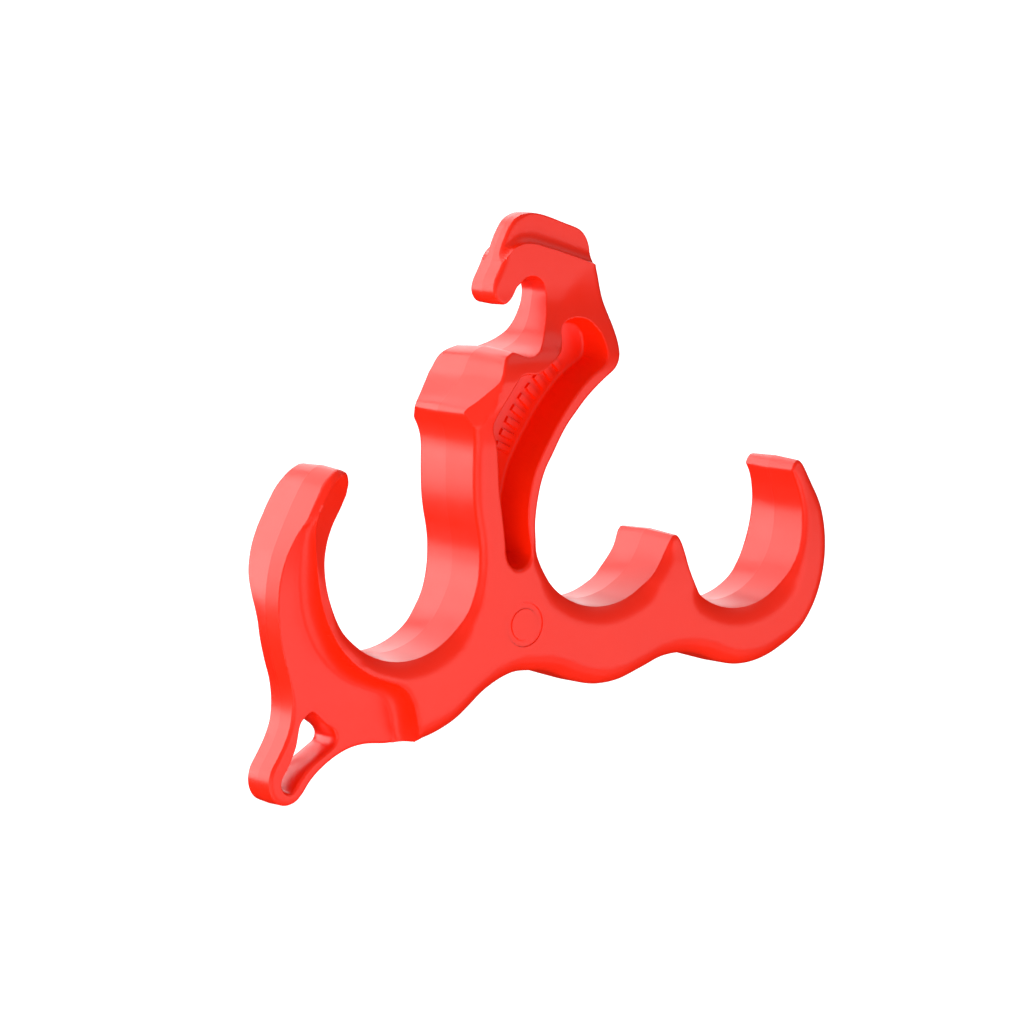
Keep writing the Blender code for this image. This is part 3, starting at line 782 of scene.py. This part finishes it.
def add_pocket_floor(builder, loop, loop_ids):
    """The pocket's floor inside a closed loop, with its ribs."""
    ribs = rib_loops()
    fixed, edges = [loop], ring_edges(0, len(loop))
    count = len(loop)
    for ring in (ring for pair in ribs for ring in pair):
        fixed.append(ring)
        edges += ring_edges(count, len(ring))
        count += len(ring)
    fixed = np.vstack(fixed)
    grid = grid_over(loop, FLOOR_STEP)
    grid = pick_free(grid[inside(grid, loop)], fixed, FLOOR_CLEARANCE)
    made, triangles, place = triangulate(fixed, edges, grid, loop, [])
    height = np.full(len(made), POCKET_FLOOR)
    for _, top in ribs:
        centre = top.mean(axis=0)
        on_top = inside(made, (top - centre) * RIB_TOP_REACH + centre)
        height = np.where(on_top, POCKET_FLOOR + RIB_HEIGHT, height)
    ids = builder.add(made, height)
    merge = {int(ids[place[i]]): int(loop_ids[i]) for i in range(len(loop))}
    for face in oriented(made, triangles):
        builder.faces.append(tuple(merge.get(int(ids[v]), int(ids[v])) for v in face))


def add_wall(builder, loop, proud, heights, ids, flip):
    """The wall from a loop on the face down to the parting plane, where it stands proud of the loop."""
    square = outward(loop)
    middle = builder.add(loop + square * proud / 2, heights / 2)
    parting = builder.add(loop + square * proud, 0.0)
    builder.strip(ids, middle, flip)
    builder.strip(middle, parting, flip)
    return middle, parting


def build_mesh(name):
    """The whole moulding: the front side and its mirror image, with the back's own face heights."""
    side = Side()
    fixed, edges = fixed_lines(side)
    free = free_points(side, fixed)
    made, triangles, place = triangulate(fixed, edges, free, side.outline, [side.pocket, side.slot])
    height = side.height(made) - mark_drop(made)
    back_height = side.height(made, back=True)
    builder = Builder()
    ids = builder.add(made, height)
    for face in oriented(made, triangles):
        builder.faces.append(tuple(int(ids[v]) for v in face))

    ends = np.cumsum([len(side.outline), len(side.pocket), len(side.slot)])
    edge, pocket, slot = (place[first:end] for first, end in zip((0, *ends), ends))
    proud = side.outline_finish[:, 0][:, None]
    flip = not clockwise(side.outline)
    middle, parting = add_wall(builder, side.outline, proud, height[edge], ids[edge], flip)
    loop, loop_ids = add_pocket_wall(builder, side, ids[pocket])
    add_pocket_floor(builder, loop, loop_ids)
    _, slot_parting = add_wall(builder, side.slot, -SLOT_DRAFT, height[slot], ids[slot], False)

    points = np.array(builder.points)
    count = len(points)
    shared = set(parting.tolist()) | set(slot_parting.tolist())
    mirrored = points * (1, -1, 1)
    mirrored[ids, 1] = back_height
    mirrored[middle, 1] = back_height[edge] / 2
    other = {i: (i if i in shared else count + i) for i in range(count)}
    faces = [tuple(int(v) for v in face) for face in builder.faces]
    faces += [tuple(other[v] for v in reversed(face)) for face in faces]
    mesh = bpy.data.meshes.new(name)
    mesh.from_pydata((np.vstack([points, mirrored]) * MM).tolist(), [], faces)
    mesh.validate()
    edge_ids = ids[edge].tolist()
    finish_mesh(mesh, [parting.tolist(), edge_ids, [other[i] for i in edge_ids]])
    piece = bpy.data.objects.new(name, mesh)
    bpy.context.scene.collection.objects.link(piece)
    return piece


def finish_mesh(mesh, rings):
    """Shades it smooth, but for its sharp edges and the given rings of edges round the wall."""
    bm = bmesh.new()
    bm.from_mesh(mesh)
    bm.verts.ensure_lookup_table()
    loose = [vert for vert in bm.verts if not vert.link_faces]
    ends = [pair for ring in rings for pair in zip(ring, ring[1:] + ring[:1])]
    creases = [bm.edges.get((bm.verts[a], bm.verts[b])) for a, b in ends]
    bmesh.ops.delete(bm, geom=loose, context="VERTS")
    bmesh.ops.recalc_face_normals(bm, faces=bm.faces)
    for face in bm.faces:
        face.smooth = True
    for edge in bm.edges:
        edge.smooth = edge.calc_face_angle(0) < radians(SMOOTH_BELOW)
    for edge in creases:
        edge.smooth = False
    bm.to_mesh(mesh)
    bm.free()


# ---------------------------------------------------------------- material

PLASTIC_IOR = 1.5
# The colour drifts from the first red to the second over this part of the noise's range.
REDS = ((0.925, 0.0132, 0.0003), (0.955, 0.0152, 0.0003))
RED_DRIFT = (0.3, 0.7)
ROUGHNESS = (0.26, 0.34)
GRAIN_STRENGTH = 0.12
GRAIN_DEPTH = 0.04
# Each noise's scale, in cycles to the metre, and its detail.
COLOUR_NOISE = (70.0, 3.0)
GLOSS_NOISE = (420.0, 4.0)
GRAIN_NOISE = (2600.0, 2.0)


def noise(tree, scale, detail):
    """A noise texture fixed to the object, in metres."""
    place = tree.nodes.new("ShaderNodeTexCoord")
    texture = tree.nodes.new("ShaderNodeTexNoise")
    texture.inputs["Scale"].default_value = scale
    texture.inputs["Detail"].default_value = detail
    tree.links.new(place.outputs["Object"], texture.inputs["Vector"])
    return texture.outputs["Fac"]


def moulded_red():
    """Satin moulded plastic: saturated red, faint drifts of colour and gloss, and a fine mould grain."""
    material = bpy.data.materials.new("moulded_red")
    material.use_nodes = True
    tree = material.node_tree
    shader = tree.nodes["Principled BSDF"]
    shader.inputs["IOR"].default_value = PLASTIC_IOR

    tint = tree.nodes.new("ShaderNodeValToRGB")
    for element, position, red in zip(tint.color_ramp.elements, RED_DRIFT, REDS):
        element.position = position
        element.color = (*red, 1)
    tree.links.new(noise(tree, *COLOUR_NOISE), tint.inputs["Fac"])
    tree.links.new(tint.outputs["Color"], shader.inputs["Base Color"])

    rough = tree.nodes.new("ShaderNodeMapRange")
    rough.inputs["To Min"].default_value, rough.inputs["To Max"].default_value = ROUGHNESS
    tree.links.new(noise(tree, *GLOSS_NOISE), rough.inputs["Value"])
    tree.links.new(rough.outputs["Result"], shader.inputs["Roughness"])

    bump = tree.nodes.new("ShaderNodeBump")
    bump.inputs["Strength"].default_value = GRAIN_STRENGTH
    bump.inputs["Distance"].default_value = GRAIN_DEPTH * MM
    tree.links.new(noise(tree, *GRAIN_NOISE), bump.inputs["Height"])
    tree.links.new(bump.outputs["Normal"], shader.inputs["Normal"])
    return material


# ---------------------------------------------------------------- stage, light and camera

# The camera looks along this bearing from +Y towards +X, and this far down, in degrees.
CAMERA_TURN, CAMERA_RISE = 37.0, 7.95
CAMERA_TARGET = (-1.7, 0.0, -29.3)
CAMERA_DISTANCE = 615.5
CAMERA_LENS = 162.3
CAMERA_SENSOR = 36.0
CAMERA_CLIP = (0.01, 20.0)

# The white surroundings: how bright they are as fill light, in reflections, and as seen by the camera.
WORLD_FILL, WORLD_REFLECTED, WORLD_SEEN = 0.58, 0.0, 1.1
FLOOR_HALF = 6.0
FLOOR_GREY, FLOOR_GLOW = 0.3, 1.15

# Soft boxes round LIT_CENTRE: the bearing from +X and the rise of each in degrees, its width and height, and
# its radiance. The first show in the gloss only, and the others light the plastic without showing in it.
LIT_CENTRE = (3.0, 0.0, -28.0)
SOFTBOX_DISTANCE = 500.0
GLOSS_BOXES = {
    "back_left": (127, 2, (400, 190), 3.5),
    "back_left_high": (125, 25, (430, 210), 3.2),
    "back_right": (62, 20, (430, 310), 1.9),
    "back_above": (90, 52, (400, 300), 2.2),
    "right_above": (-15, 52, (350, 300), 0.55),
    "front_right": (-62, -8, (380, 200), 1.4),
    "front_low": (-60, -38, (350, 240), 0.4),
    "left": (-155, 5, (350, 350), 0.3),
    "camera_side": (-127, 8, (400, 400), 0.12),
}
FILL_BOXES = {
    "fill": (-128, -30, (500, 500), 2.7),
    "back_fill": (152, 28, (500, 500), 2.6),
}


def camera():
    turn, rise = radians(CAMERA_TURN), radians(CAMERA_RISE)
    ahead = Vector((sin(turn) * cos(rise), cos(turn) * cos(rise), -sin(rise)))
    data = bpy.data.cameras.new("camera")
    data.lens = CAMERA_LENS
    data.sensor_width = CAMERA_SENSOR
    data.clip_start, data.clip_end = CAMERA_CLIP
    made = bpy.data.objects.new("camera", data)
    made.location = (Vector(CAMERA_TARGET) - ahead * CAMERA_DISTANCE) * MM
    made.rotation_mode = "QUATERNION"
    made.rotation_quaternion = ahead.to_track_quat("-Z", "Y")
    bpy.context.scene.collection.objects.link(made)
    bpy.context.scene.camera = made


def softbox(name, around, up, size, radiance, fills):
    data = bpy.data.lights.new(name, "AREA")
    data.shape = "RECTANGLE"
    data.size, data.size_y = (side * MM for side in size)
    # An area light of power P and area A has radiance P / (pi A) from its front.
    data.energy = radiance * pi * data.size * data.size_y
    made = bpy.data.objects.new(name, data)
    turn, rise = radians(around), radians(up)
    direction = Vector((cos(turn) * cos(rise), sin(turn) * cos(rise), sin(rise)))
    made.location = (Vector(LIT_CENTRE) + direction * SOFTBOX_DISTANCE) * MM
    made.rotation_mode = "QUATERNION"
    made.rotation_quaternion = (-direction).to_track_quat("-Z", "Y")
    made.visible_camera = False
    made.visible_diffuse = fills
    made.visible_glossy = not fills
    bpy.context.scene.collection.objects.link(made)


def lights():
    for name, values in GLOSS_BOXES.items():
        softbox(name, *values, fills=False)
    for name, values in FILL_BOXES.items():
        softbox(name, *values, fills=True)


def floor(low_z):
    """A plain pale floor, which neither shows in the gloss nor throws light back."""
    mesh = bpy.data.meshes.new("floor")
    corners = [(x * FLOOR_HALF, y * FLOOR_HALF, low_z) for x, y in ((-1, -1), (1, -1), (1, 1), (-1, 1))]
    mesh.from_pydata(corners, [], [(0, 1, 2, 3)])
    made = bpy.data.objects.new("floor", mesh)
    bpy.context.scene.collection.objects.link(made)
    material = bpy.data.materials.new("pale_floor")
    material.use_nodes = True
    shader = material.node_tree.nodes["Principled BSDF"]
    shader.inputs["Base Color"].default_value = (FLOOR_GREY, FLOOR_GREY, FLOOR_GREY, 1)
    shader.inputs["Roughness"].default_value = 1.0
    shader.inputs["Specular IOR Level"].default_value = 0.0
    shader.inputs["Emission Color"].default_value = (1, 1, 1, 1)
    shader.inputs["Emission Strength"].default_value = FLOOR_GLOW
    mesh.materials.append(material)
    made.visible_glossy = False
    made.visible_diffuse = False
    made.visible_shadow = False


def surroundings():
    """A white world with its own brightness for fill light, for reflections and for the camera."""
    world = bpy.data.worlds.new("studio")
    world.use_nodes = True
    tree = world.node_tree
    tree.nodes.clear()
    path = tree.nodes.new("ShaderNodeLightPath")
    out = tree.nodes.new("ShaderNodeOutputWorld")
    below = background(tree, WORLD_FILL)
    for ray, strength in (("Is Glossy Ray", WORLD_REFLECTED), ("Is Camera Ray", WORLD_SEEN)):
        mix = tree.nodes.new("ShaderNodeMixShader")
        tree.links.new(path.outputs[ray], mix.inputs["Fac"])
        tree.links.new(below.outputs[0], mix.inputs[1])
        tree.links.new(background(tree, strength).outputs[0], mix.inputs[2])
        below = mix
    tree.links.new(below.outputs[0], out.inputs["Surface"])
    bpy.context.scene.world = world


def background(tree, strength):
    white = tree.nodes.new("ShaderNodeBackground")
    white.inputs["Strength"].default_value = strength
    white.inputs["Color"].default_value = (1, 1, 1, 1)
    return white


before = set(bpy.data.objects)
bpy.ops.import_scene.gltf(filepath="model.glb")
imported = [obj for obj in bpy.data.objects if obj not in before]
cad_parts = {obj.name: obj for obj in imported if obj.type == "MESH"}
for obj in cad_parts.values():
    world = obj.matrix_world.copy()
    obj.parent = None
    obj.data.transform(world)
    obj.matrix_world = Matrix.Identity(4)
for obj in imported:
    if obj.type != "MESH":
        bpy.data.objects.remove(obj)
cad_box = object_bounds()
bpy.context.scene.view_settings.view_transform = "Standard"

body = build_mesh("moulded_body")
body.data.materials.append(moulded_red())
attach(body, "root")
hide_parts("release_body")

floor(cad_box[0][2])
surroundings()
lights()
camera()
